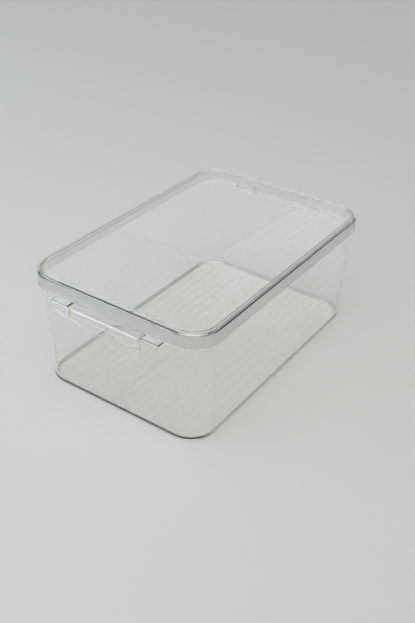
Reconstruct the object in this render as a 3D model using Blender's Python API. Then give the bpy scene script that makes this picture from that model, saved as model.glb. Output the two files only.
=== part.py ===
"""Clear lidded fridge organizer: a drafted bin with a grip lip on each short end, and a lift-off lid.

Metres, +Z up. The origin is the centre of the footprint, on the surface that the bin stands on. The long
side lies along Y, and the two short ends, with their lips and tabs, face -Y and +Y. An inset is measured
inwards from the outline of the lid's skirt, for the bin too, because its rim stands inside the skirt.
"""

from math import asin, cos, pi, radians, sin, sqrt, tan

import bmesh
import bpy
from mathutils import Matrix, Vector

# Whole object
LID_LENGTH = 0.300
LID_WIDTH = 0.200
LID_CORNER_RADIUS = 0.0285
TOTAL_HEIGHT = 0.122

# Lid
LID_WALL = 0.0018
SKIRT_DEPTH = 0.0153
SKIRT_DRAFT = 0.0002
SHOULDER_RADIUS = 0.0022
BEAD_HEIGHT = 0.0022
BEAD_EDGE_RADIUS = 0.0010
PANEL_THICKNESS = 0.0018

# Bin
BIN_WALL = 0.0018
FOOT_CORNER_RADIUS = 0.0255
RIM_EDGE_RADIUS = 0.0006
FOOT_WIDTH = 0.0032
FOOT_HEIGHT = 0.0012
FOOT_EDGE_RADIUS = 0.0010
FLOOR_THICKNESS = 0.0020
FLOOR_FILLET = 0.0030

# Ribs along the floor of the bin
RIB_COUNT = 16
RIB_PITCH = 0.01025
RIB_WIDTH = 0.0046
RIB_HEIGHT = 0.0008
RIB_SINK = 0.0006
RIB_MARGIN = 0.0090
RIB_FIELD_RADIUS = 0.018

# Round top of a rib, as shares of its width and of its height
RIB_TOP_SHARES = ((1.0, 0.0), (0.86, 0.5), (0.45, 1.0))

# Grip lip on each short end of the bin
LIP_WIDTH = 0.121
LIP_REACH = 0.0079
LIP_THICKNESS = 0.0018
LIP_EDGE_RADIUS = 0.0026
LIP_END_DROP = 0.0050
LIP_SAG = 0.0138

# Lift tab on each short end of the lid, which lies in a seat in the lip
TAB_WIDTH = 0.0786
TAB_THICKNESS = 0.0015
TAB_SLOPE = 22
TAB_RISE = 0.0009
TAB_SINK = 0.0004
TAB_DROP = 0.0087
TAB_CORNER_RADIUS = 0.0065
SEAT_EDGE_RADIUS = 0.0022
SEAT_RAMP = 0.0018

# Fits: the lid on the bin, the tab in its seat, the rim in the lid's groove, and a foot inside a bead below
SEAT_GAP = 0.0003
SEAT_SIDE_CLEARANCE = 0.0008
RIM_CLEARANCE = 0.00035
STACK_CLEARANCE = 0.0007

# Fineness of round stretches, how far a cut runs on, and how deep a joined shape goes into the wall
CORNER_SEGMENTS = 12
FILLET_SEGMENTS = 3
ARC_SEGMENTS = 24
RIB_SEGMENTS = 6
OVERRUN = 0.010
JOIN_SHARE = 0.5
WELD_DISTANCE = 0.000001

# Edges that turn by more than this angle are shaded sharp, and the turn about Z of each short end
SHARP_ANGLE = radians(32)
FRONT_END = 0.0
BACK_END = pi

# Finish of both mouldings
CLEAR_TINT = (0.93, 0.95, 0.95)
CLEAR_ROUGHNESS = 0.04
CLEAR_IOR = 1.57

# Worked out from the sizes above
RIM_INSET = LID_WALL + RIM_CLEARANCE
GROOVE_INSET = RIM_INSET + BIN_WALL + RIM_CLEARANCE
BEAD_WIDTH = GROOVE_INSET + LID_WALL
FOOT_INSET = BEAD_WIDTH + STACK_CLEARANCE
SKIRT_BOTTOM = TOTAL_HEIGHT - SKIRT_DEPTH
PANEL_TOP = TOTAL_HEIGHT - BEAD_HEIGHT
GROOVE_TOP = TOTAL_HEIGHT - LID_WALL
RIM_TOP = GROOVE_TOP - SEAT_GAP
FLOOR_TOP = FOOT_HEIGHT + FLOOR_THICKNESS
LEDGE_TOP = SKIRT_BOTTOM - SEAT_GAP
TAB_TOP = SKIRT_BOTTOM + TAB_RISE
TAB_REACH = LIP_REACH - TAB_SINK
TAB_EDGE_RADIUS = SEAT_EDGE_RADIUS + SEAT_GAP + TAB_THICKNESS
SEAT_TOP = TAB_TOP - (TAB_THICKNESS + SEAT_GAP) / cos(radians(TAB_SLOPE))
SEAT_REACH = TAB_REACH - TAB_THICKNESS - SEAT_GAP
SEAT_HALF_WIDTH = TAB_WIDTH / 2 + SEAT_SIDE_CLEARANCE


def clear_scene():
    """Remove every object of the scene that is open."""
    for thing in list(bpy.data.objects):
        bpy.data.objects.remove(thing, do_unlink=True)


def new_collection(name, hidden=False):
    """Add a collection to the scene, left out of renders where it holds cutters."""
    collection = bpy.data.collections.new(name)
    collection.hide_render = hidden
    bpy.context.scene.collection.children.link(collection)
    return collection


def clear_plastic(name):
    """Make the material of a clear moulding."""
    material = bpy.data.materials.new(name)
    material.use_nodes = True
    shader = material.node_tree.nodes["Principled BSDF"]
    shader.inputs["Base Color"].default_value = (*CLEAR_TINT, 1.0)
    shader.inputs["Roughness"].default_value = CLEAR_ROUGHNESS
    shader.inputs["Metallic"].default_value = 0.0
    shader.inputs["IOR"].default_value = CLEAR_IOR
    shader.inputs["Transmission Weight"].default_value = 1.0
    return material


def add_mesh_object(name, mesh, collection):
    """Turn a closed bmesh into an object of the collection, with faces that point out and smooth rounds."""
    bmesh.ops.recalc_face_normals(mesh, faces=mesh.faces)
    data = bpy.data.meshes.new(name)
    mesh.to_mesh(data)
    mesh.free()
    data.shade_smooth()
    data.set_sharp_from_angle(angle=SHARP_ANGLE)
    thing = bpy.data.objects.new(name, data)
    collection.objects.link(thing)
    return thing


def arc(centre, radius, start, end, steps=FILLET_SEGMENTS):
    """Give the points of an arc about a centre, from one angle to another in degrees."""
    angles = [radians(start + (end - start) * step / steps) for step in range(steps + 1)]
    return [(centre[0] + radius * cos(angle), centre[1] + radius * sin(angle)) for angle in angles]


def corner_outline(half_width, half_length, radius):
    """Give the (x, y) points round a rectangle with round corners."""
    across = half_width - radius
    along = half_length - radius
    centres = ((across, along), (-across, along), (-across, -along), (across, -along))
    points = []
    for turn, centre in enumerate(centres):
        points += arc(centre, radius, 90 * turn, 90 * (turn + 1), CORNER_SEGMENTS)
    return points


def next_ring(corners, sides, ring, mesh):
    """Extrude a ring of edges, move its new corners onto the next ring, and give them with their edges."""
    made = bmesh.ops.extrude_edge_only(mesh, edges=sides)["geom"]
    ends = {element for element in made if isinstance(element, bmesh.types.BMVert)}
    edges = [element for element in made if isinstance(element, bmesh.types.BMEdge)]
    following = [edge for edge in edges if ends.issuperset(edge.verts)]
    neighbours = [[edge.other_vert(corner) for edge in corner.link_edges] for corner in corners]
    moved = [next(vertex for vertex in around if vertex in ends) for around in neighbours]
    for vertex, place in zip(moved, ring):
        vertex.co = place
    return moved, following


def loft(mesh, rings):
    """Make a closed shape from rings of equally many points.

    Each ring is extruded onto the next one, and both ends are capped.
    """
    corners = [mesh.verts.new(place) for place in rings[0]]
    sides = [mesh.edges.new(pair) for pair in zip(corners, corners[1:] + corners[:1])]
    first = sides
    for ring in rings[1:]:
        corners, sides = next_ring(corners, sides, ring, mesh)
    for end in (first, sides):
        bmesh.ops.contextual_create(mesh, geom=end)


def add_shell(name, section, collection):
    """Make a shell from a section of (inset, height, corner radius) rows.

    The section runs from one cap out, round the rim or the skirt, and back in to the other cap.
    """
    rings = []
    for inset, height, corner_radius in section:
        outline = corner_outline(LID_WIDTH / 2 - inset, LID_LENGTH / 2 - inset, corner_radius)
        rings.append([(x, y, height) for x, y in outline])
    mesh = bmesh.new()
    loft(mesh, rings)
    return add_mesh_object(name, mesh, collection)


def add_prism(name, outline, half_depth, placing, collection):
    """Fill an outline, extrude it by half its depth each way, and put it in its place as a mesh."""
    curve = bpy.data.curves.new(name, "CURVE")
    curve.dimensions = "2D"
    curve.fill_mode = "BOTH"
    curve.extrude = half_depth
    spline = curve.splines.new("POLY")
    spline.points.add(len(outline) - 1)
    for point, (across, up) in zip(spline.points, outline):
        point.co = (across, up, 0, 1)
    spline.use_cyclic_u = True
    drawn = bpy.data.objects.new(name + "_outline", curve)
    collection.objects.link(drawn)
    evaluated = drawn.evaluated_get(bpy.context.evaluated_depsgraph_get())
    filled = bpy.data.meshes.new_from_object(evaluated)
    mesh = bmesh.new()
    mesh.from_mesh(filled)
    bmesh.ops.remove_doubles(mesh, verts=mesh.verts, dist=WELD_DISTANCE)
    bmesh.ops.transform(mesh, matrix=placing, verts=mesh.verts)
    bpy.data.objects.remove(drawn, do_unlink=True)
    bpy.data.meshes.remove(filled)
    return add_mesh_object(name, mesh, collection)


def add_boolean(thing, other, operation):
    """Join, cut or trim a piece with another shape, which stays as a hidden wire guide."""
    modifier = thing.modifiers.new(other.name, "BOOLEAN")
    modifier.operation = operation
    modifier.object = other
    other.display_type = "WIRE"
    other.hide_render = True


def set_origin(thing, point):
    """Move a piece's origin to a point without moving its shape."""
    thing.data.transform(Matrix.Translation(-point))
    thing.location = point
    bpy.context.view_layer.update()


def follow(thing, carrier):
    """Let a shape move with the piece that carries it."""
    thing.parent = carrier
    thing.matrix_parent_inverse = carrier.matrix_world.inverted()


def wall_inset(height):
    """Give the inset of the bin's outer face at a height: the walls lean in towards the foot."""
    rise = (height - FOOT_EDGE_RADIUS) / (RIM_TOP - FOOT_EDGE_RADIUS)
    return FOOT_INSET + (RIM_INSET - FOOT_INSET) * rise


def bin_corner_radius(inset, height):
    """Give the radius of the bin's corners, which hardly change from the foot to the rim."""
    rim_radius = LID_CORNER_RADIUS - RIM_INSET
    outside = FOOT_CORNER_RADIUS + (rim_radius - FOOT_CORNER_RADIUS) * height / RIM_TOP
    return outside - (inset - wall_inset(height))


def bin_section():
    """Section of the bin, from the hollow below round the foot, up, over the rim and down to the floor."""
    foot_inside = FOOT_INSET + FOOT_WIDTH
    foot_edge = (FOOT_INSET + FOOT_EDGE_RADIUS, FOOT_EDGE_RADIUS)
    rim_outside = (RIM_INSET + RIM_EDGE_RADIUS, RIM_TOP - RIM_EDGE_RADIUS)
    rim_inside = (RIM_INSET + BIN_WALL - RIM_EDGE_RADIUS, RIM_TOP - RIM_EDGE_RADIUS)
    floor_start = FLOOR_TOP + FLOOR_FILLET
    floor_edge = (wall_inset(floor_start) + BIN_WALL + FLOOR_FILLET, floor_start)
    outline = [
        (foot_inside, FOOT_HEIGHT),
        (foot_inside, 0),
        *arc(foot_edge, FOOT_EDGE_RADIUS, 270, 180),
        *arc(rim_outside, RIM_EDGE_RADIUS, 180, 90),
        *arc(rim_inside, RIM_EDGE_RADIUS, 90, 0),
        *arc(floor_edge, FLOOR_FILLET, 180, 270),
    ]
    return [(inset, height, bin_corner_radius(inset, height)) for inset, height in outline]


def lid_section():
    """Section of the lid, from the panel out over the bead, down the skirt and back in through the groove.

    Its corners share their centres at every height.
    """
    bead_inside = (BEAD_WIDTH - BEAD_EDGE_RADIUS, TOTAL_HEIGHT - BEAD_EDGE_RADIUS)
    shoulder = (SKIRT_DRAFT + SHOULDER_RADIUS, TOTAL_HEIGHT - SHOULDER_RADIUS)
    outline = [
        (BEAD_WIDTH, PANEL_TOP),
        *arc(bead_inside, BEAD_EDGE_RADIUS, 0, 90),
        *arc(shoulder, SHOULDER_RADIUS, 90, 180),
        (0, SKIRT_BOTTOM),
        (LID_WALL, SKIRT_BOTTOM),
        (LID_WALL, GROOVE_TOP),
        (GROOVE_INSET, GROOVE_TOP),
        (GROOVE_INSET, PANEL_TOP - PANEL_THICKNESS),
    ]
    return [(inset, height, LID_CORNER_RADIUS - inset) for inset, height in outline]


def hook_section(root, reach, top, bottom, thickness, edge_radius, slope=0):
    """Section of a ledge that reaches out and turns down, as (distance beyond the skirt, height) points.

    The ledge is level as far as the skirt's face, and from there it falls at the slope, in degrees.
    """
    fall = radians(slope)
    middle = reach - edge_radius
    turn = (middle, top - middle * tan(fall) - edge_radius / cos(fall))
    outside = arc(turn, edge_radius, 90 - slope, 0, 2 * FILLET_SEGMENTS)
    inside = arc(turn, edge_radius - thickness, 0, 90 - slope, 2 * FILLET_SEGMENTS)
    kink = -thickness * tan(fall / 2)
    upper = [(root, top), (0, top), *outside, (reach, bottom)]
    lower = [(reach - thickness, bottom), *inside, (kink, top - thickness), (root, top - thickness)]
    return upper + lower


def lip_front():
    """Front of a grip lip, as (across, height) points: square ends, with a lower edge that sags between."""
    half_width = LIP_WIDTH / 2
    end_height = LEDGE_TOP - LIP_END_DROP
    radius = (half_width**2 + LIP_SAG**2) / (2 * LIP_SAG)
    swing = asin(half_width / radius) * 180 / pi
    centre = (0, end_height - LIP_SAG + radius)
    lower_edge = arc(centre, radius, 270 - swing, 270 + swing, ARC_SEGMENTS)
    return [*lower_edge, (half_width, LEDGE_TOP + OVERRUN), (-half_width, LEDGE_TOP + OVERRUN)]


def tab_front():
    """Front of a lift tab, as (across, height) points: a straight lower edge with round corners."""
    half_width = TAB_WIDTH / 2
    turn_across = half_width - TAB_CORNER_RADIUS
    turn_height = SKIRT_BOTTOM - TAB_DROP + TAB_CORNER_RADIUS
    left = arc((-turn_across, turn_height), TAB_CORNER_RADIUS, 180, 270, 2 * FILLET_SEGMENTS)
    right = arc((turn_across, turn_height), TAB_CORNER_RADIUS, 270, 360, 2 * FILLET_SEGMENTS)
    top = SKIRT_BOTTOM + OVERRUN
    return [*left, *right, (half_width, top), (-half_width, top)]


def lip_stations():
    """Stations across a grip lip: its ends stand proud of the seat in which the lid's tab lies."""
    root = -wall_inset(LEDGE_TOP) - BIN_WALL * JOIN_SHARE
    bottom = LEDGE_TOP - LIP_END_DROP - LIP_SAG - OVERRUN
    proud = hook_section(root, LIP_REACH, LEDGE_TOP, bottom, LIP_THICKNESS, LIP_EDGE_RADIUS)
    seat = hook_section(root, SEAT_REACH, SEAT_TOP, bottom, LIP_THICKNESS, SEAT_EDGE_RADIUS, TAB_SLOPE)
    outer = LIP_WIDTH / 2 + OVERRUN
    ramp_end = SEAT_HALF_WIDTH + SEAT_RAMP
    left = [(-outer, proud), (-ramp_end, proud), (-SEAT_HALF_WIDTH, seat)]
    right = [(SEAT_HALF_WIDTH, seat), (ramp_end, proud), (outer, proud)]
    return left + right


def tab_stations():
    """Stations across a lift tab, which has one section throughout."""
    bottom = SKIRT_BOTTOM - TAB_DROP - OVERRUN
    section = hook_section(
        -LID_WALL * JOIN_SHARE, TAB_REACH, TAB_TOP, bottom, TAB_THICKNESS, TAB_EDGE_RADIUS, TAB_SLOPE
    )
    outer = TAB_WIDTH / 2 + OVERRUN
    return [(-outer, section), (outer, section)]


def add_hook(name, stations, front, end, collection):
    """Loft a hooked ledge through its (across, section) stations, and trim it to its front outline.

    A section runs out along -Y from the skirt of the front end. The back end's ledge is the same, turned
    about Z.
    """
    face = -LID_LENGTH / 2
    rings = [[(across, face - out, height) for out, height in section] for across, section in stations]
    mesh = bmesh.new()
    loft(mesh, rings)
    turn = Matrix.Rotation(end, 4, "Z")
    bmesh.ops.transform(mesh, matrix=turn, verts=mesh.verts)
    ledge = add_mesh_object(name, mesh, collection)
    upright = Matrix.Translation(Vector((0, -LID_LENGTH / 2, 0))) @ Matrix.Rotation(pi / 2, 4, "X")
    trim = add_prism(name + "_trim", front, LIP_REACH + OVERRUN, turn @ upright, collection)
    add_boolean(ledge, trim, "INTERSECT")
    return ledge


def rib_half_length(middle):
    """Give half the length of the rib this far from the middle: the outer ones follow the corners."""
    half_width = LID_WIDTH / 2 - FOOT_INSET - RIB_MARGIN
    half_length = LID_LENGTH / 2 - FOOT_INSET - RIB_MARGIN
    beyond = max(abs(middle) + RIB_WIDTH / 2 - (half_width - RIB_FIELD_RADIUS), 0)
    return half_length - RIB_FIELD_RADIUS + sqrt(max(RIB_FIELD_RADIUS**2 - beyond**2, 0))


def add_ribs(name, collection):
    """Make the low round-topped ribs that run along the floor, as one group of shapes to be joined to it."""
    half_width = RIB_WIDTH / 2
    levels = [(half_width, -RIB_SINK)]
    levels += [(half_width * across, RIB_HEIGHT * up) for across, up in RIB_TOP_SHARES]
    mesh = bmesh.new()
    for index in range(RIB_COUNT):
        middle = (index - (RIB_COUNT - 1) / 2) * RIB_PITCH
        along = rib_half_length(middle) - half_width
        rings = []
        for radius, rise in levels:
            outline = arc((middle, along), radius, 0, 180, RIB_SEGMENTS)
            outline += arc((middle, -along), radius, 180, 360, RIB_SEGMENTS)
            rings.append([(x, y, FLOOR_TOP + rise) for x, y in outline])
        loft(mesh, rings)
    return add_mesh_object(name, mesh, collection)


def build_bin(parts, cutters):
    """Make the bin: drafted walls, foot ring, ribbed floor and a grip lip on each short end."""
    body = add_shell("bin", bin_section(), parts)
    add_boolean(body, add_ribs("bin_ribs", cutters), "UNION")
    for name, end in (("lip_front", FRONT_END), ("lip_back", BACK_END)):
        add_boolean(body, add_hook(name, lip_stations(), lip_front(), end, cutters), "UNION")
    return body


def build_lid(parts, cutters):
    """Make the lid: recessed panel, stacking bead, skirt and a lift tab on each short end."""
    cover = add_shell("lid", lid_section(), parts)
    set_origin(cover, Vector((0, 0, SKIRT_BOTTOM)))
    for name, end in (("tab_front", FRONT_END), ("tab_back", BACK_END)):
        tab = add_hook(name, tab_stations(), tab_front(), end, cutters)
        add_boolean(cover, tab, "UNION")
        follow(tab, cover)
    return cover


def main():
    """Build the bin and its lid, each with its own clear material."""
    clear_scene()
    parts = new_collection("fridge_organizer")
    cutters = new_collection("cutters", hidden=True)
    body = build_bin(parts, cutters)
    cover = build_lid(parts, cutters)
    for thing in (body, cover):
        thing.data.materials.append(clear_plastic(thing.name + "_clear_plastic"))
    follow(cover, body)


main()
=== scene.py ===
"""Dressed scene of a clear lidded fridge organizer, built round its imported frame.

The organizer is two injection mouldings of clear polyester: a bin with a grip lip on each short
end, and a lift-off lid with a lift tab on each short end. Lengths are in metres, and +Z is up. An
inset is measured inwards from the outline of the lid's skirt, as in the part's own source.

The pieces keep the main sizes of the solids. The floor, the ribs, the bead, the groove and the
edges differ from the solids by 1.2 mm at most, because in clear plastic these small forms decide
where the dark and the bright lines run.
"""

import logging
import math
from abc import ABC, abstractmethod
from collections.abc import Callable, Iterable, Sequence
from dataclasses import dataclass, field
from enum import Enum

import bmesh
import bpy
from mathutils import Matrix, Vector

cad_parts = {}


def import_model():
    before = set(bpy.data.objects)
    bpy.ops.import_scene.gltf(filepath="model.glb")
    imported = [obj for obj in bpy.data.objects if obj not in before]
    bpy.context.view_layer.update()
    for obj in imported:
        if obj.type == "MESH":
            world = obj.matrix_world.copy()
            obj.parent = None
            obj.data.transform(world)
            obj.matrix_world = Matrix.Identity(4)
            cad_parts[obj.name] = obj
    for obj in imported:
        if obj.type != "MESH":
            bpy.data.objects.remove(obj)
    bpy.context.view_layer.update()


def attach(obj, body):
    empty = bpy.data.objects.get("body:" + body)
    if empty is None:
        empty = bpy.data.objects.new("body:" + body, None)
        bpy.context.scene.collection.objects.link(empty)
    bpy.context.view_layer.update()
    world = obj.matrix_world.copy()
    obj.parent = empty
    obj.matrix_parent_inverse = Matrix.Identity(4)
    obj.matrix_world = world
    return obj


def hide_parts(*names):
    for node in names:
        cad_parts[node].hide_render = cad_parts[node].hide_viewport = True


LOG = logging.getLogger("fridge_organizer")
MM = 0.001
# Name of the mask for the satin faces, which also take a darker tint that is painted shade.
SATIN_AND_SHADE = "satin"
# Edges shorter than this are leftovers of joining meshes.
SHORTEST_EDGE = 0.001 * MM
# The Mix node's colour sockets share their names with its number sockets, so they go by index.
MIX_SHARE, MIX_PLAIN, MIX_MARKED, MIX_RESULT = 0, 6, 7, 2
# Turns that light may take inside the walls before it is given up.
LIGHT_BOUNCES = 40

Point = tuple[float, float]
Place = tuple[float, float, float]
Ring = list[Place]
Socket = bpy.types.NodeSocket
# Inset, height and corner radius of one ring of a shell.
Row = tuple[float, float, float]
# Reach, top, edge radius and slope in degrees of a ledge.
Ledge = tuple[float, float, float, float]


class End(Enum):
    """Short end of the organizer, as its turn about Z from the end that faces -Y."""

    FRONT = 0.0
    BACK = math.pi


def linear(code: str) -> tuple[float, float, float, float]:
    """Turn an sRGB hex colour into linear red, green, blue and an alpha of 1.

    Args:
        code: Six hex digits after a hash, such as "#c8ccca".

    Returns:
        The linear colour that a shader socket takes.
    """
    shares = [int(code[place : place + 2], 16) / 255 for place in (1, 3, 5)]
    red, green, blue = (s / 12.92 if s <= 0.04045 else ((s + 0.055) / 1.055) ** 2.4 for s in shares)
    return red, green, blue, 1.0


def add_node(
    tree: bpy.types.NodeTree,
    kind: str,
    settings: dict | None = None,
    values: dict | None = None,
    links: dict | None = None,
) -> bpy.types.Node:
    """Add a shader node with its settings, its input values and the links into it.

    Args:
        tree: Node tree that takes the node.
        kind: Blender's name for the node type.
        settings: Properties of the node.
        values: Input sockets, by name or index, with the value that each one holds.
        links: Input sockets, by name or index, with the output socket that feeds each one.

    Returns:
        The new node.
    """
    node = tree.nodes.new(kind)
    for name, setting in (settings or {}).items():
        setattr(node, name, setting)
    for socket, value in (values or {}).items():
        node.inputs[socket].default_value = value
    for socket, source in (links or {}).items():
        tree.links.new(source, node.inputs[socket])
    return node


def empty_tree(owner: bpy.types.Material | bpy.types.World) -> bpy.types.NodeTree:
    """Give a material or world a node tree with nothing in it."""
    owner.use_nodes = True
    owner.node_tree.nodes.clear()
    return owner.node_tree


@dataclass(frozen=True)
class ClearPolyester:
    """Clear polyester, injection moulded in a polished tool.

    The polished tool gives hard clean reflections, and a ripple too low to feel keeps the long ones
    from being dead straight. The thickness shows only at the edges, where the eye looks along the
    plastic and sees its faint grey. Where the tool was blasted, inside the lid's skirt, the satin
    surface blurs what lies behind it. A darker tint there is painted shade, which holds some of the
    light back.
    """

    name: str
    tint: str = "#fefefd"
    # Darker tint of the satin faces: painted shade inside the lid's skirt.
    satin_painted_shade: str = "#dde0e0"
    depth_tint: str = "#d6d5cf"
    depth_density: float = 10.0
    ior: float = 1.57
    roughness: float = 0.012
    satin_roughness: float = 0.3
    ripple_width: float = 34 * MM
    ripple_height: float = 0.004 * MM
    ripple_detail: float = 1.0
    ripple_fineness: float = 0.4

    def material(self) -> bpy.types.Material:
        """Make the material: clear body, satin with painted shade where marked, faint ripple and a
        tint with depth.
        """
        made = bpy.data.materials.new(self.name)
        tree = empty_tree(made)
        place = add_node(tree, "ShaderNodeTexCoord")
        ripple = add_node(
            tree,
            "ShaderNodeTexNoise",
            values={
                "Scale": 1 / self.ripple_width,
                "Detail": self.ripple_detail,
                "Roughness": self.ripple_fineness,
            },
            links={"Vector": place.outputs["Object"]},
        )
        relief = add_node(
            tree,
            "ShaderNodeBump",
            values={"Strength": 1.0, "Distance": self.ripple_height},
            links={"Height": ripple.outputs["Fac"]},
        )
        blasted_and_shaded = add_node(tree, "ShaderNodeAttribute", {"attribute_name": SATIN_AND_SHADE})
        gloss = add_node(
            tree,
            "ShaderNodeMapRange",
            values={"To Min": self.roughness, "To Max": self.satin_roughness},
            links={"Value": blasted_and_shaded.outputs["Fac"]},
        )
        # Satin faces take the darker tint, which paints shade inside the skirt.
        colour = add_node(
            tree,
            "ShaderNodeMix",
            {"data_type": "RGBA"},
            {MIX_PLAIN: linear(self.tint), MIX_MARKED: linear(self.satin_painted_shade)},
            {MIX_SHARE: blasted_and_shaded.outputs["Fac"]},
        )
        body = add_node(
            tree,
            "ShaderNodeBsdfPrincipled",
            values={"IOR": self.ior, "Transmission Weight": 1.0},
            links={
                "Base Color": colour.outputs[MIX_RESULT],
                "Roughness": gloss.outputs["Result"],
                "Normal": relief.outputs["Normal"],
            },
        )
        depth = add_node(
            tree,
            "ShaderNodeVolumeAbsorption",
            values={"Color": linear(self.depth_tint), "Density": self.depth_density},
        )
        add_node(
            tree,
            "ShaderNodeOutputMaterial",
            links={"Surface": body.outputs["BSDF"], "Volume": depth.outputs["Volume"]},
        )
        return made


@dataclass(frozen=True)
class MattePaper:
    """Matte background paper: hardly any gloss, and a tooth too fine to show at this distance."""

    name: str = "matte_background_paper"
    colour: str = "#cdcecc"
    roughness: float = 0.9
    gloss: float = 0.1

    def material(self) -> bpy.types.Material:
        """Make the plain matte material."""
        made = bpy.data.materials.new(self.name)
        tree = empty_tree(made)
        paper = add_node(
            tree,
            "ShaderNodeBsdfPrincipled",
            values={
                "Base Color": linear(self.colour),
                "Roughness": self.roughness,
                "Specular IOR Level": self.gloss,
            },
        )
        add_node(tree, "ShaderNodeOutputMaterial", links={"Surface": paper.outputs["BSDF"]})
        return made


def arc(centre: Point, radius: float, start: float, end: float, steps: int) -> list[Point]:
    """Give the points of an arc.

    Args:
        centre: Middle of the arc.
        radius: Its radius.
        start: First angle in degrees.
        end: Last angle in degrees.
        steps: Number of chords.

    Returns:
        One point more than there are chords.
    """
    angles = [math.radians(start + (end - start) * step / steps) for step in range(steps + 1)]
    return [(centre[0] + radius * math.cos(a), centre[1] + radius * math.sin(a)) for a in angles]


def rounded(start: Point, corner: Point, end: Point, steps: int) -> list[Point]:
    """Round a corner off.

    Args:
        start: Where the round begins, on the line into the corner.
        corner: The corner that is rounded off.
        end: Where the round ends, on the line out of the corner.
        steps: Number of chords.

    Returns:
        One point more than there are chords.
    """
    points = []
    for step in range(steps + 1):
        share = step / steps
        weights = ((1 - share) ** 2, 2 * share * (1 - share), share**2)
        pulls = list(zip(weights, (start, corner, end)))
        points.append(tuple(sum(pull * point[axis] for pull, point in pulls) for axis in (0, 1)))
    return points


def spread(start: float, length: float, steps: int) -> list[float]:
    """Give evenly spread distances over a length, from one step past its start to its end."""
    return [start + length * step / steps for step in range(1, steps + 1)]


@dataclass
class Loft:
    """A closed mesh drawn through rings of equally many points, with both ends filled."""

    rings: Sequence[Ring]

    def add_to(self, mesh: bmesh.types.BMesh) -> None:
        """Add the shape's corners and faces to a mesh."""
        loops = [[mesh.verts.new(place) for place in ring] for ring in self.rings]
        for loop, following in zip(loops, loops[1:]):
            pairs = zip(loop, loop[1:] + loop[:1], following[1:] + following[:1], following)
            for corners in pairs:
                mesh.faces.new(corners)
        mesh.faces.new(loops[0][::-1])
        mesh.faces.new(loops[-1])


def mesh_object(name: str, shapes: Iterable[Loft]) -> bpy.types.Object:
    """Make one object of one or more closed shapes, with its faces pointing out.

    Args:
        name: Name of the object and its mesh.
        shapes: Shapes that don't touch each other.

    Returns:
        The object, linked to the scene.
    """
    mesh = bmesh.new()
    for shape in shapes:
        shape.add_to(mesh)
    bmesh.ops.recalc_face_normals(mesh, faces=mesh.faces)
    data = bpy.data.meshes.new(name)
    mesh.to_mesh(data)
    mesh.free()
    thing = bpy.data.objects.new(name, data)
    bpy.context.scene.collection.objects.link(thing)
    return thing


def moulded(body: bpy.types.Object, features: Sequence[bpy.types.Object], sharp: float) -> None:
    """Fuse features into a moulding, and shade it smooth but for its sharp edges.

    Args:
        body: The moulding's main shape, which takes the others in.
        features: Shapes that the moulding has in one with it. They are removed afterwards.
        sharp: Angle in radians above which an edge stays sharp.
    """
    for feature in features:
        join = body.modifiers.new(feature.name, "BOOLEAN")
        join.operation = "UNION"
        join.solver = "EXACT"
        join.object = feature
    graph = bpy.context.evaluated_depsgraph_get()
    fused = bpy.data.meshes.new_from_object(body.evaluated_get(graph))
    body.modifiers.clear()
    body.data = fused
    for feature in features:
        bpy.data.objects.remove(feature, do_unlink=True)
    mesh = bmesh.new()
    mesh.from_mesh(fused)
    bmesh.ops.dissolve_degenerate(mesh, dist=SHORTEST_EDGE, edges=mesh.edges)
    mesh.to_mesh(fused)
    mesh.free()
    fused.shade_smooth()
    fused.set_sharp_from_angle(angle=sharp)
    even = body.modifiers.new("even_normals", "WEIGHTED_NORMAL")
    even.mode = "FACE_AREA"
    even.keep_sharp = True


def mark_satin_and_shade(piece: bpy.types.Object, is_satin_and_shaded: Callable[[Vector, Vector], bool]) -> None:
    """Mark the faces that the tool leaves satin, which also take a darker tint that is painted
    shade.

    Args:
        piece: The moulding.
        is_satin_and_shaded: Tells from a face's middle and its normal whether it is satin.
    """
    marks = piece.data.attributes.new(SATIN_AND_SHADE, "FLOAT", "FACE")
    for face in piece.data.polygons:
        marks.data[face.index].value = float(is_satin_and_shaded(face.center, face.normal))


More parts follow.
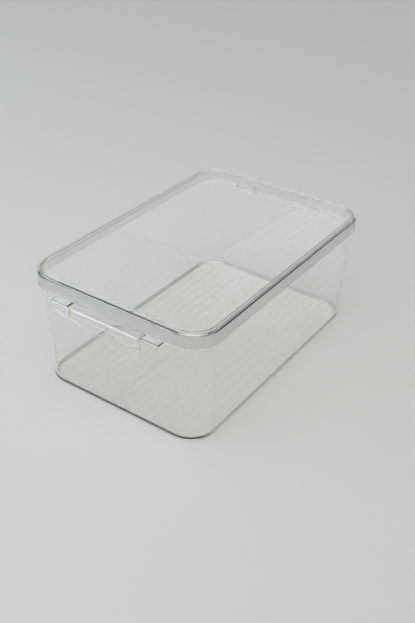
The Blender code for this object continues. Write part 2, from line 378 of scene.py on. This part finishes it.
@dataclass
class Moulding:
    """Sizes that the bin and the lid share.

    The roof is how far the groove's top lies below the lid's. The slope of the tab, and of its
    seat in the lip, is in degrees.
    """

    lid_length: float = 300 * MM
    lid_width: float = 200 * MM
    lid_corner_radius: float = 28.5 * MM
    total_height: float = 122 * MM
    lid_wall: float = 1.8 * MM
    bin_wall: float = 1.8 * MM
    skirt_depth: float = 15.3 * MM
    seat_gap: float = 0.3 * MM
    roof: float = 2.7 * MM
    rim_clearance: float = 0.35 * MM
    stack_clearance: float = 0.7 * MM
    bead_height: float = 2.2 * MM
    small_radius: float = 0.3 * MM
    tab_rise: float = 0.9 * MM
    tab_thickness: float = 1.5 * MM
    tab_slope: float = 22.0
    corner_steps: int = 28
    fillet_steps: int = 5
    sharp_angle: float = math.radians(40)

    @property
    def rim_inset(self) -> float:
        """Inset of the outside of the bin's rim."""
        return self.lid_wall + self.rim_clearance

    @property
    def groove_inset(self) -> float:
        """Inset of the inner side of the groove that takes the rim."""
        return self.rim_inset + self.bin_wall + self.rim_clearance

    @property
    def bead_inset(self) -> float:
        """Inset of the inner side of the stacking bead."""
        return self.groove_inset + self.lid_wall

    @property
    def foot_inset(self) -> float:
        """Inset of the outside of the foot, which stands inside the bead of a lid below."""
        return self.bead_inset + self.stack_clearance

    @property
    def skirt_bottom(self) -> float:
        """Height of the lower edge of the skirt."""
        return self.total_height - self.skirt_depth

    @property
    def panel_top(self) -> float:
        """Height of the lid's flat field."""
        return self.total_height - self.bead_height

    @property
    def groove_top(self) -> float:
        """Height of the roof of the groove."""
        return self.total_height - self.roof

    @property
    def rim_top(self) -> float:
        """Height of the bin's rim."""
        return self.groove_top - self.seat_gap

    def inset(self, place: Vector) -> float:
        """Give how far inside the outline of the skirt a place is, whatever its height."""
        across = abs(place.x) - self.lid_width / 2 + self.lid_corner_radius
        along = abs(place.y) - self.lid_length / 2 + self.lid_corner_radius
        reach = math.hypot(across, along) if min(across, along) > 0 else max(across, along)
        return self.lid_corner_radius - reach

    def shell(self, rows: Iterable[Row]) -> Loft:
        """Draw a shell through its section.

        Args:
            rows: The section, from one cap round to the other.

        Returns:
            The shape of the shell.
        """
        rings = []
        for inset, height, radius in rows:
            across = self.lid_width / 2 - inset - radius
            along = self.lid_length / 2 - inset - radius
            ring = []
            for turn, (x, y) in enumerate(((1, 1), (-1, 1), (-1, -1), (1, -1))):
                middle = (x * across, y * along)
                corner = arc(middle, radius, 90 * turn, 90 * turn + 90, self.corner_steps)
                ring += [(*point, height) for point in corner]
            rings.append(ring)
        return Loft(rings)


@dataclass(kw_only=True)
class Hook(ABC):
    """A ledge that reaches out from a short end and turns down: a grip lip or a lift tab.

    The round at its tip takes at most tip_share of the thickness. The lower edge stays below
    bend_share of the inner bend's height, and the bend gives way to the straight face at
    bend_end times the tip's round above the lower edge.
    """

    sizes: Moulding
    width: float
    reach: float
    top: float
    thickness: float
    edge_radius: float
    root: float
    edge_round: float = 0.6 * MM
    tip_share: float = 0.45
    bend_share: float = 0.75
    bend_end: float = 1.5
    round_steps: int = 4
    bend_steps: int = 8

    @abstractmethod
    def bottom(self, across: float) -> float:
        """Give the height of the lower edge at a distance from the middle."""

    @abstractmethod
    def ledge(self, across: float) -> Ledge:
        """Give the shape of the ledge at a distance from the middle."""

    @abstractmethod
    def stations(self) -> list[float]:
        """Give the distances from the middle to the sections on the +X side, outwards."""

    def section(self, across: float, trim: float) -> list[Point]:
        """Draw the section as (distance beyond the skirt, height) points.

        Args:
            across: Distance from the middle.
            trim: How far the section is drawn inside its full outline, to round off an end.

        Returns:
            The points round the section, out along its top and back along its underside.
        """
        reach, top, edge_radius, slope = self.ledge(across)
        fall = math.radians(slope)
        outer = edge_radius - trim
        inner = edge_radius - self.thickness + trim
        middle = reach - edge_radius
        turn = (middle, top - middle * math.tan(fall) - edge_radius / math.cos(fall))
        tip = min(self.edge_round, (self.thickness - 2 * trim) * self.tip_share)
        highest = turn[1] + self.bend_share * (edge_radius - self.thickness) - tip
        bottom = min(self.bottom(across), highest) + trim
        rise = max(bottom + self.bend_end * tip - turn[1], 0.0)
        faces = []
        for radius, side in ((outer, -1), (inner, 1)):
            last = math.degrees(math.asin(rise / radius))
            bend = arc(turn, radius, 90 - slope, last, self.bend_steps)
            start, corner = (
                (turn[0] + math.sqrt(radius**2 - max(height - turn[1], 0.0) ** 2), height)
                for height in (bottom + tip, bottom)
            )
            end = (corner[0] + side * tip, bottom)
            faces.append(bend + rounded(start, corner, end, self.round_steps))
        upper = top - trim
        lower = top - self.thickness + trim
        kink = -self.thickness * math.tan(fall / 2)
        points = [(self.root, upper), (0.0, upper), *faces[0], *faces[1][::-1]]
        return [*points, (kink, lower), (self.root, lower)]

    def build(self, name: str, end: End) -> bpy.types.Object:
        """Loft the ledge for one short end.

        Args:
            name: Name of the object.
            end: The short end that it stands on.

        Returns:
            The ledge, ready to be fused into its moulding.
        """
        half = self.width / 2
        rows = [(across, 0.0) for across in self.stations() if across < half - self.edge_round]
        for step in range(self.round_steps + 1):
            angle = math.pi / 2 * step / self.round_steps
            across = half - self.edge_round * (1 - math.sin(angle))
            rows.append((across, self.edge_round * (1 - math.cos(angle))))
        rows = [(-across, trim) for across, trim in rows[::-1]] + rows
        face = -self.sizes.lid_length / 2
        turn = Matrix.Rotation(end.value, 4, "Z")
        rings = []
        for across, trim in rows:
            places = [(across, face - out, height) for out, height in self.section(across, trim)]
            rings.append([tuple(turn @ Vector(place)) for place in places])
        return mesh_object(name, [Loft(rings)])


@dataclass(kw_only=True)
class LiftTab(Hook):
    """Lift tab of the lid: it falls a little as it reaches out, and its lower corners are round."""

    drop: float = 8.7 * MM
    corner_radius: float = 6.5 * MM
    corner_steps: int = 12

    def bottom(self, across: float) -> float:
        """Give the height of the straight lower edge, or of its round corner."""
        level = self.sizes.skirt_bottom - self.drop
        beyond = max(abs(across) - (self.width / 2 - self.corner_radius), 0.0)
        rise = self.corner_radius - math.sqrt(max(self.corner_radius**2 - beyond**2, 0.0))
        return level + rise

    def ledge(self, across: float) -> Ledge:
        """Give the same sloping shape all the way across."""
        del across
        return self.reach, self.top, self.edge_radius, self.sizes.tab_slope

    def stations(self) -> list[float]:
        """Give stations that crowd together round the corners."""
        straight = self.width / 2 - self.corner_radius
        angles = [math.radians(angle) for angle in spread(0.0, 90.0, self.corner_steps)]
        corner = [straight + self.corner_radius * math.sin(angle) for angle in angles]
        return [straight / 2, straight, *corner]


@dataclass(kw_only=True)
class GripLip(Hook):
    """Grip lip of the bin: it holds a seat for the lid's tab, and its lower edge sags."""

    seat_reach: float
    seat_top: float
    seat_half_width: float = 40.1 * MM
    seat_ramp: float = 1.8 * MM
    seat_edge_radius: float = 2.2 * MM
    end_drop: float = 5.0 * MM
    sag: float = 13.8 * MM
    seat_steps: int = 12
    ramp_steps: int = 6
    end_steps: int = 6

    def bottom(self, across: float) -> float:
        """Give the height of the sagging lower edge."""
        half = self.width / 2
        radius = (half**2 + self.sag**2) / (2 * self.sag)
        lowest = self.sizes.skirt_bottom - self.sizes.seat_gap - self.end_drop - self.sag
        return lowest + radius - math.sqrt(radius**2 - min(abs(across), half) ** 2)

    def ledge(self, across: float) -> Ledge:
        """Give the seat's shape in the middle, and a smooth ramp up to the proud ends."""
        share = min(max((abs(across) - self.seat_half_width) / self.seat_ramp, 0.0), 1.0)
        share = share * share * (3 - 2 * share)
        seat = (self.seat_reach, self.seat_top, self.seat_edge_radius, self.sizes.tab_slope)
        proud = (self.reach, self.top, self.edge_radius, 0.0)
        return tuple(a + (b - a) * share for a, b in zip(seat, proud))

    def stations(self) -> list[float]:
        """Give stations along the arc, with more of them up the ramp at the end of the seat."""
        ramp_end = self.seat_half_width + self.seat_ramp
        return [
            *spread(0.0, self.seat_half_width, self.seat_steps),
            *spread(self.seat_half_width, self.seat_ramp, self.ramp_steps),
            *spread(ramp_end, self.width / 2 - ramp_end, self.end_steps),
        ]


@dataclass
class FloorRibs:
    """Low round-topped ribs along the floor of the bin.

    They reach sink below the floor's surface, so that they fuse with it, and the rounding of
    their tops starts flank_sink below it. A crown_power of 2 would draw the tops as parabolas,
    and a larger one draws them fuller.
    """

    sizes: Moulding
    floor_top: float
    count: int = 16
    pitch: float = 10.25 * MM
    width: float = 4.6 * MM
    height: float = 0.4 * MM
    sink: float = 0.6 * MM
    flank_sink: float = 0.02 * MM
    crown_power: float = 2.5
    margin: float = 9.0 * MM
    field_radius: float = 18.0 * MM
    end_steps: int = 12
    top_steps: int = 9

    def half_length(self, middle: float) -> float:
        """Give half a rib's length at a distance from the middle: the outer ones are shorter."""
        half_width = self.sizes.lid_width / 2 - self.sizes.foot_inset - self.margin
        half_length = self.sizes.lid_length / 2 - self.sizes.foot_inset - self.margin
        beyond = max(abs(middle) + self.width / 2 - (half_width - self.field_radius), 0.0)
        corner = math.sqrt(max(self.field_radius**2 - beyond**2, 0.0))
        return half_length - self.field_radius + corner

    def rib(self, middle: float) -> Loft:
        """Draw one rib through level outlines, from below the floor's surface to its crown."""
        half = self.width / 2
        along = self.half_length(middle) - half
        levels = [(half, -self.sink), (half, -self.flank_sink)]
        for step in range(1, self.top_steps):
            share = 1 - step / self.top_steps
            levels.append((half * share, self.height * (1 - share**self.crown_power)))
        rings = []
        for radius, rise in levels:
            outline = arc((middle, along), radius, 0, 180, self.end_steps)
            outline += arc((middle, -along), radius, 180, 360, self.end_steps)
            rings.append([(x, y, self.floor_top + rise) for x, y in outline])
        return Loft(rings)

    def build(self, name: str) -> bpy.types.Object:
        """Make all the ribs as one feature."""
        places = [(index - (self.count - 1) / 2) * self.pitch for index in range(self.count)]
        return mesh_object(name, [self.rib(middle) for middle in places])


@dataclass
class Bin:
    """The bin: drafted walls, foot ring, ribbed floor and a grip lip on each short end."""

    sizes: Moulding
    finish: ClearPolyester = field(default_factory=lambda: ClearPolyester("clear_polyester_bin"))
    foot_corner_radius: float = 25.5 * MM
    rim_edge_radius: float = 0.76 * MM
    foot_width: float = 3.2 * MM
    foot_height: float = 0.65 * MM
    foot_edge_radius: float = 0.8 * MM
    floor_thickness: float = 1.8 * MM
    floor_fillet: float = 3.0 * MM
    lip_width: float = 121.0 * MM
    lip_reach: float = 7.9 * MM
    lip_thickness: float = 1.8 * MM
    lip_edge_radius: float = 2.6 * MM
    tab_sink: float = 0.4 * MM

    @property
    def floor_top(self) -> float:
        """Height of the floor between its ribs."""
        return self.foot_height + self.floor_thickness

    def wall_inset(self, height: float) -> float:
        """Give the inset of the outer face at a height: the walls lean in towards the foot."""
        rise = (height - self.foot_edge_radius) / (self.sizes.rim_top - self.foot_edge_radius)
        return self.sizes.foot_inset + (self.sizes.rim_inset - self.sizes.foot_inset) * rise

    def corner_radius(self, inset: float, height: float) -> float:
        """Give the radius of the corners, which hardly change from the foot to the rim."""
        rim_radius = self.sizes.lid_corner_radius - self.sizes.rim_inset
        share = height / self.sizes.rim_top
        outside = self.foot_corner_radius + (rim_radius - self.foot_corner_radius) * share
        return outside - (inset - self.wall_inset(height))

    def section(self) -> list[Row]:
        """Draw the section from the hollow below, round the foot and the rim, to the floor."""
        s = self.sizes
        steps = s.fillet_steps
        small = s.small_radius
        foot = self.foot_edge_radius
        rim = self.rim_edge_radius
        fillet = self.floor_fillet
        foot_inside = s.foot_inset + self.foot_width
        floor_start = self.floor_top + fillet
        wall_inside = self.wall_inset(floor_start) + s.bin_wall
        points = [
            *arc((foot_inside + small, self.foot_height - small), small, 90, 180, steps),
            *arc((foot_inside - small, small), small, 0, -90, steps),
            *arc((s.foot_inset + foot, foot), foot, 270, 180, steps),
            *arc((s.rim_inset + rim, s.rim_top - rim), rim, 180, 90, steps),
            *arc((s.rim_inset + s.bin_wall - rim, s.rim_top - rim), rim, 90, 0, steps),
            *arc((wall_inside + fillet, floor_start), fillet, 180, 270, 2 * steps),
        ]
        return [(inset, height, self.corner_radius(inset, height)) for inset, height in points]

    def lip(self) -> GripLip:
        """Describe the grip lip, with its seat under the lid's tab."""
        s = self.sizes
        tab_top = s.skirt_bottom + s.tab_rise
        ledge_top = s.skirt_bottom - s.seat_gap
        gap = (s.tab_thickness + s.seat_gap) / math.cos(math.radians(s.tab_slope))
        return GripLip(
            sizes=s,
            width=self.lip_width,
            reach=self.lip_reach,
            top=ledge_top,
            thickness=self.lip_thickness,
            edge_radius=self.lip_edge_radius,
            root=-self.wall_inset(ledge_top) - s.bin_wall / 2,
            seat_reach=self.lip_reach - self.tab_sink - s.tab_thickness - s.seat_gap,
            seat_top=tab_top - gap,
        )

    def build(self) -> bpy.types.Object:
        """Make the bin and dress it.

        Returns:
            The finished piece, riding on its body.
        """
        shell = mesh_object("clear_bin", [self.sizes.shell(self.section())])
        features = [FloorRibs(self.sizes, self.floor_top).build("floor_ribs")]
        features += [self.lip().build(f"grip_lip_{end.name.lower()}", end) for end in End]
        moulded(shell, features, self.sizes.sharp_angle)
        shell.data.materials.append(self.finish.material())
        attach(shell, "bin")
        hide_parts("bin")
        return shell


@dataclass
class Lid:
    """The lid: flat panel, stacking bead, skirt and a lift tab on each short end.

    The bead's top is a round ridge that stands ridge_height above the shoulder. Its outer flank
    turns down by ridge_flank degrees before it runs out onto the shoulder. A face is satin when
    it lies within satin_reach of the skirt's inside and its normal rises by less than satin_rise.
    """

    sizes: Moulding
    finish: ClearPolyester = field(default_factory=lambda: ClearPolyester("clear_polyester_lid"))
    skirt_draft: float = 0.2 * MM
    shoulder_radius: float = 2.0 * MM
    shoulder_steps: int = 15
    ridge_width: float = 1.0 * MM
    ridge_height: float = 0.53 * MM
    ridge_flank: float = 69.0
    ridge_steps: int = 3
    groove_radius: float = 0.85 * MM
    panel_fillet: float = 0.7 * MM
    panel_thickness: float = 1.8 * MM
    tab_width: float = 78.6 * MM
    tab_reach: float = 7.5 * MM
    tab_edge_radius: float = 4.0 * MM
    tab_edge_round: float = 0.3 * MM
    tab_root_gap: float = 0.05 * MM
    satin_reach: float = 0.2 * MM
    satin_rise: float = 0.5

    def section(self) -> list[Row]:
        """Draw the section from the panel over the bead, down the skirt and in by the groove."""
        s = self.sizes
        steps = s.fillet_steps
        small = s.small_radius
        below = s.panel_top - self.panel_thickness
        crown = self.ridge_width / 2
        ridge = (s.bead_inset - crown, s.total_height - crown)
        shelf = s.total_height - self.ridge_height
        groove = self.groove_radius
        fillet = self.panel_fillet
        shoulder = self.shoulder_radius
        shoulder_middle = (self.skirt_draft + shoulder, shelf - shoulder)
        flank = arc(ridge, crown, 90, 90 + self.ridge_flank, steps)
        flank_foot = (flank[-1][0], shelf)
        ridge_foot = (flank_foot[0] - self.ridge_height / 2, shelf)
        points = [
            *arc((s.bead_inset + fillet, s.panel_top + fillet), fillet, -90, -180, steps),
            *arc(ridge, crown, 0, 90, steps),
            *flank[1:],
            *rounded(flank[-1], flank_foot, ridge_foot, self.ridge_steps)[1:],
            *arc(shoulder_middle, shoulder, 90, 180, self.shoulder_steps),
            *arc((small, s.skirt_bottom + small), small, 180, 270, steps),
            *arc((s.lid_wall - small, s.skirt_bottom + small), small, -90, 0, steps),
            *arc((s.lid_wall + groove, s.groove_top - groove), groove, 180, 90, steps),
            *arc((s.groove_inset - groove, s.groove_top - groove), groove, 90, 0, steps),
            *arc((s.groove_inset + small, below + small), small, 180, 270, steps),
        ]
        return [(inset, height, s.lid_corner_radius - inset) for inset, height in points]

    def tab(self) -> LiftTab:
        """Describe the lift tab, whose root ends just short of the skirt's inside."""
        s = self.sizes
        return LiftTab(
            sizes=s,
            width=self.tab_width,
            reach=self.tab_reach,
            top=s.skirt_bottom + s.tab_rise,
            thickness=s.tab_thickness,
            edge_radius=self.tab_edge_radius,
            root=self.tab_root_gap - s.lid_wall,
            edge_round=self.tab_edge_round,
        )

    def is_satin_and_shaded(self, place: Vector, normal: Vector) -> bool:
        """Tell whether a face is on the inside of the skirt."""
        s = self.sizes
        inside = abs(s.inset(place) - s.lid_wall) < self.satin_reach
        return inside and place.z < s.groove_top and abs(normal.z) < self.satin_rise

    def build(self) -> bpy.types.Object:
        """Make the lid and dress it.

        Returns:
            The finished piece, riding on its body.
        """
        shell = mesh_object("clear_lid", [self.sizes.shell(self.section())])
        features = [self.tab().build(f"lift_tab_{end.name.lower()}", end) for end in End]
        moulded(shell, features, self.sizes.sharp_angle)
        # The marked faces are satin, and they take the painted shade tint.
        mark_satin_and_shade(shell, self.is_satin_and_shaded)
        shell.data.materials.append(self.finish.material())
        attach(shell, "lid")
        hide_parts("lid")
        return shell


@dataclass
class Softbox:
    """A large diffused studio lamp that points at a place. Its power is in watts."""

    name: str
    place: Place
    target: Place
    width: float
    height: float
    power: float
    colour: str

    def build(self) -> None:
        """Add the lamp to the scene."""
        light = bpy.data.lights.new(self.name, "AREA")
        light.shape = "RECTANGLE"
        light.size = self.width
        light.size_y = self.height
        light.energy = self.power
        light.color = linear(self.colour)[:3]
        lamp = bpy.data.objects.new(self.name, light)
        lamp.location = self.place
        aim = Vector(self.target) - Vector(self.place)
        lamp.rotation_euler = aim.to_track_quat("-Z", "Y").to_euler()
        bpy.context.scene.collection.objects.link(lamp)


@dataclass(frozen=True)
class Glow:
    """A soft bright part of the room round the set, such as a pale wall or a lit ceiling.

    All its angles are in degrees. It is at full strength up to the inner angle from its middle,
    and fades out towards the outer one.
    """

    azimuth: float
    elevation: float
    outer: float
    inner: float
    colour: str
    strength: float

    def add_to(self, tree: bpy.types.NodeTree, way: Socket, total: Socket) -> Socket:
        """Add the glow to the room's light.

        Args:
            tree: The world's node tree.
            way: Socket that gives the direction of each ray.
            total: Socket that gives the light so far.

        Returns:
            The socket with this glow added.
        """
        turn, rise, outer, inner = (
            math.radians(angle) for angle in (self.azimuth, self.elevation, self.outer, self.inner)
        )
        middle = (math.cos(turn) * math.cos(rise), math.sin(turn) * math.cos(rise), math.sin(rise))
        near = add_node(
            tree,
            "ShaderNodeVectorMath",
            {"operation": "DOT_PRODUCT"},
            {1: middle},
            {0: way},
        )
        share = add_node(
            tree,
            "ShaderNodeMapRange",
            {"interpolation_type": "SMOOTHSTEP"},
            {"From Min": math.cos(outer), "From Max": math.cos(inner), "To Max": self.strength},
            {"Value": near.outputs["Value"]},
        )
        lit = add_node(
            tree,
            "ShaderNodeVectorMath",
            {"operation": "MULTIPLY_ADD"},
            {0: linear(self.colour)[:3]},
            {1: share.outputs["Result"], 2: total},
        )
        return lit.outputs["Vector"]


PALE_WALL = Glow(
    azimuth=124.0,
    elevation=18.0,
    outer=60.0,
    inner=20.0,
    colour="#f2f4f3",
    strength=0.5,
)
LIT_CEILING = Glow(
    azimuth=304.0,
    elevation=65.0,
    outer=60.0,
    inner=20.0,
    colour="#fdfcf8",
    strength=0.74,
)
WINDOW_SOFTBOX = Softbox(
    name="window_softbox",
    place=(-1.5, -1.3, 0.95),
    target=(0.0, 0.0, 0.0),
    width=2.0,
    height=1.3,
    power=22.0,
    colour="#d6e8ff",
)
TOP_SOFTBOX = Softbox(
    name="top_softbox",
    place=(0.05, -0.25, 0.95),
    target=(0.05, -0.25, 0.0),
    width=0.7,
    height=0.7,
    power=2.2,
    colour="#fff0e2",
)


@dataclass
class Studio:
    """Flat pale paper, a window-like softbox, a small one above, and the pale room round them."""

    paper: MattePaper = field(default_factory=MattePaper)
    half_floor: float = 4.0
    drop: float = 0.3 * MM
    room: str = "#f2f5f4"
    room_strength: float = 0.34
    glows: tuple[Glow, ...] = (PALE_WALL, LIT_CEILING)
    lamps: tuple[Softbox, ...] = (WINDOW_SOFTBOX, TOP_SOFTBOX)

    def lay_floor(self) -> None:
        """Lay the paper just below the foot."""
        half = self.half_floor
        mesh = bpy.data.meshes.new("paper_floor")
        turns = ((-1, -1), (1, -1), (1, 1), (-1, 1))
        mesh.from_pydata([(x * half, y * half, -self.drop) for x, y in turns], [], [(0, 1, 2, 3)])
        floor = bpy.data.objects.new("paper_floor", mesh)
        floor.data.materials.append(self.paper.material())
        bpy.context.scene.collection.objects.link(floor)

    def light_room(self) -> None:
        """Light the room evenly, and add its glows."""
        world = bpy.data.worlds.new("studio_room")
        tree = empty_tree(world)
        base = add_node(tree, "ShaderNodeRGB")
        base.outputs[0].default_value = [self.room_strength * share for share in linear(self.room)]
        total = base.outputs[0]
        way = add_node(tree, "ShaderNodeTexCoord").outputs["Generated"]
        for glow in self.glows:
            total = glow.add_to(tree, way, total)
        room = add_node(tree, "ShaderNodeBackground", links={"Color": total})
        add_node(tree, "ShaderNodeOutputWorld", links={"Surface": room.outputs["Background"]})
        bpy.context.scene.world = world

    def build(self) -> None:
        """Lay the floor, light the room and place the lamps."""
        self.lay_floor()
        self.light_room()
        for lamp in self.lamps:
            lamp.build()


@dataclass
class PhotoCamera:
    """Camera at the photograph's viewpoint, for a frame of 415 by 623 pixels.

    The angles are in degrees. Yaw is the camera's side of the part, from -Y towards +X, and pitch
    is how far it looks down. The sensor's height is in millimetres.
    """

    place: Place = (0.412402, -0.604906, 0.515256)
    yaw: float = 34.062
    pitch: float = 33.285
    roll: float = 1.518
    focal_pixels: float = 842.75
    frame_height: float = 623.0
    sensor: float = 36.0
    clip_start: float = 0.01

    def build(self) -> None:
        """Add the camera and make it the scene's own."""
        data = bpy.data.cameras.new("photo_camera")
        data.sensor_fit = "VERTICAL"
        data.sensor_height = self.sensor
        data.lens = self.focal_pixels / self.frame_height * self.sensor
        data.clip_start = self.clip_start
        yaw, pitch, roll = (math.radians(angle) for angle in (self.yaw, self.pitch, self.roll))
        level_share = math.cos(pitch)
        back = Vector((math.sin(yaw) * level_share, -math.cos(yaw) * level_share, math.sin(pitch)))
        level = Vector((math.cos(yaw), math.sin(yaw), 0.0))
        upright = back.cross(level)
        right = math.cos(roll) * level + math.sin(roll) * upright
        up = -math.sin(roll) * level + math.cos(roll) * upright
        camera = bpy.data.objects.new("photo_camera", data)
        turned = Matrix((right, up, back)).transposed().to_4x4()
        camera.matrix_world = Matrix.Translation(Vector(self.place)) @ turned
        bpy.context.scene.collection.objects.link(camera)
        bpy.context.scene.camera = camera


def let_light_through(scene: bpy.types.Scene) -> None:
    """Let light pass the plastic unblurred, and run down inside the walls as it really does."""
    scene.cycles.blur_glossy = 0.0
    scene.cycles.max_bounces = LIGHT_BOUNCES
    scene.cycles.glossy_bounces = LIGHT_BOUNCES
    scene.cycles.transmission_bounces = LIGHT_BOUNCES


def main() -> None:
    """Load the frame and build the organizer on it."""
    logging.basicConfig(level=logging.INFO, format="%(name)s: %(message)s")
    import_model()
    bpy.context.scene.view_settings.view_transform = "Standard"
    let_light_through(bpy.context.scene)
    sizes = Moulding()
    for piece in (Bin(sizes), Lid(sizes)):
        made = piece.build()
        LOG.info("%s: %d faces", made.name, len(made.data.polygons))
    Studio().build()
    PhotoCamera().build()
    bpy.context.view_layer.update()


if __name__ == "__main__":
    main()
